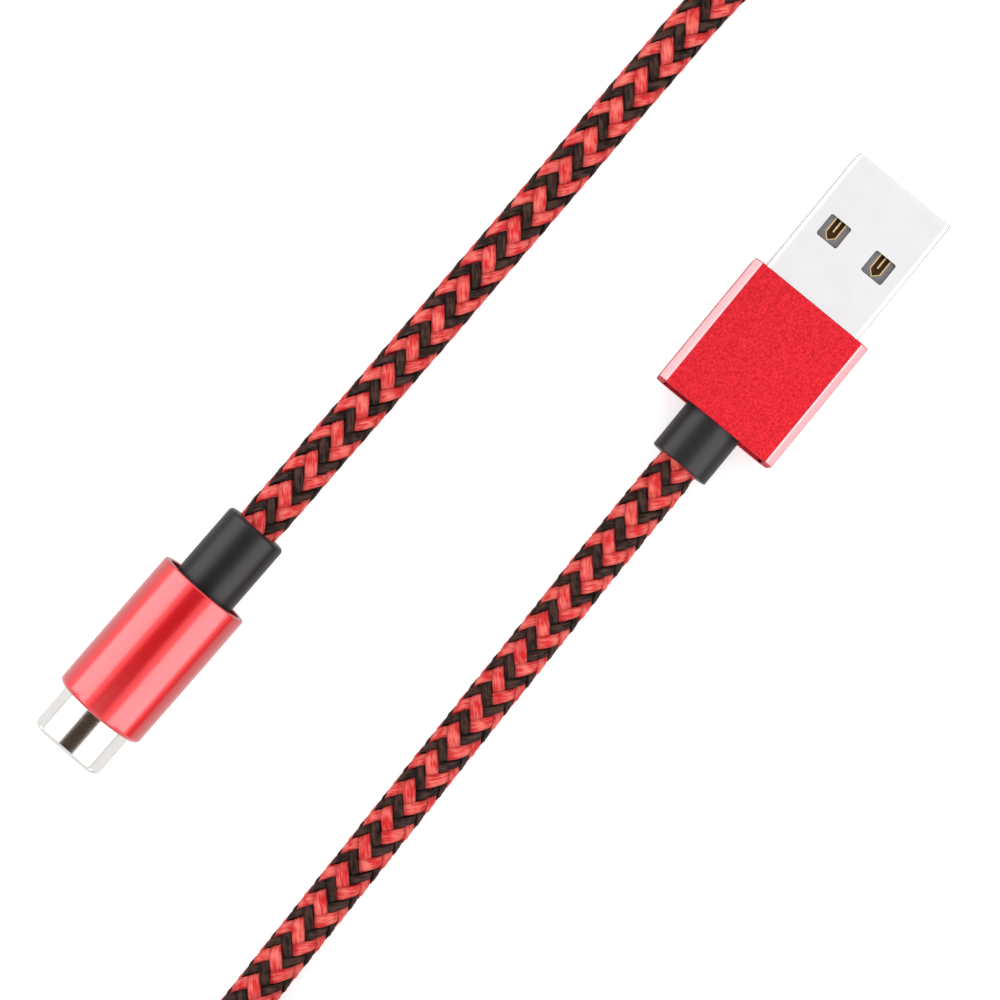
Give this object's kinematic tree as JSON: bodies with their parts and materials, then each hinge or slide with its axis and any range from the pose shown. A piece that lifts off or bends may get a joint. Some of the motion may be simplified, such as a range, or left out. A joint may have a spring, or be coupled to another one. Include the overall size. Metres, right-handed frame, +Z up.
{
  "type": "charging cable",
  "caption": "Braided charging cable with a square metal USB-A plug and a round metal USB-C plug, spare length tied in a coil.",
  "frame": {"origin": "middle of the flat underside of the USB-A housing, on the surface that the cable lies on", "axes": "+Z up from the surface; the USB-A plug points 39.4 degrees from +Y towards +X, and the USB-C plug lies beside it, pointing 41 degrees from -Y towards -X"},
  "size_m": [0.1132, 0.1785, 0.0102],
  "materials": {
    "red_anodised_frosted": "bead-blasted, red anodised",
    "red_anodised_satin": "turned, satin, red anodised",
    "nickel_shell": "bright nickel plate on folded steel",
    "nickel_nose": "polished nickel plate on drawn steel",
    "tongue_plastic": "moulded, matt grey",
    "gold_contact": "gold plate",
    "black_moulding": "moulded, matt black",
    "black_rubber": "matt TPE",
    "crimp_metal": "tinned",
    "solder_tin": "bright solder",
    "wire_red": "PVC insulation",
    "wire_white": "PVC insulation",
    "wire_green": "PVC insulation",
    "wire_black": "PVC insulation",
    "jacket_pvc": "PVC jacket",
    "circuit_board": "green solder resist",
    "chip_black": "ceramic chip",
    "braid_red_black": "braided nylon, red and black",
    "strap_black": "woven nylon strap"
  },
  "bodies": {
    "root": {"usb_a_housing": "red_anodised_frosted", "usb_a_shell": "nickel_shell", "usb_a_tongue": "tongue_plastic", "usb_a_contacts": "gold_contact", "usb_a_solder": "solder_tin", "usb_a_wire_red": "wire_red", "usb_a_wire_white": "wire_white", "usb_a_wire_green": "wire_green", "usb_a_wire_black": "wire_black", "usb_a_inner_moulding": "black_moulding", "usb_a_crimp": "crimp_metal", "usb_a_jacket_end": "jacket_pvc", "usb_a_braid_end": "braid_red_black", "usb_a_strain_relief": "black_rubber", "usb_c_barrel": "red_anodised_satin", "usb_c_face_insert": "black_moulding", "usb_c_nose": "nickel_nose", "usb_c_insulator": "tongue_plastic", "usb_c_contacts_upper": "gold_contact", "usb_c_contacts_lower": "gold_contact", "usb_c_latch": "crimp_metal", "usb_c_ground_pads": "crimp_metal", "usb_c_board": "circuit_board", "usb_c_resistor": "chip_black", "usb_c_solder": "solder_tin", "usb_c_wire_red": "wire_red", "usb_c_wire_white": "wire_white", "usb_c_wire_green": "wire_green", "usb_c_wire_black": "wire_black", "usb_c_inner_moulding": "black_moulding", "usb_c_crimp": "crimp_metal", "usb_c_jacket_end": "jacket_pvc", "usb_c_braid_end": "braid_red_black", "usb_c_strain_relief": "black_rubber", "cord_run_a": "braid_red_black", "cord_coil": "braid_red_black", "cord_run_c": "braid_red_black", "cord_tie": "strap_black"}
  },
  "joints": []
}
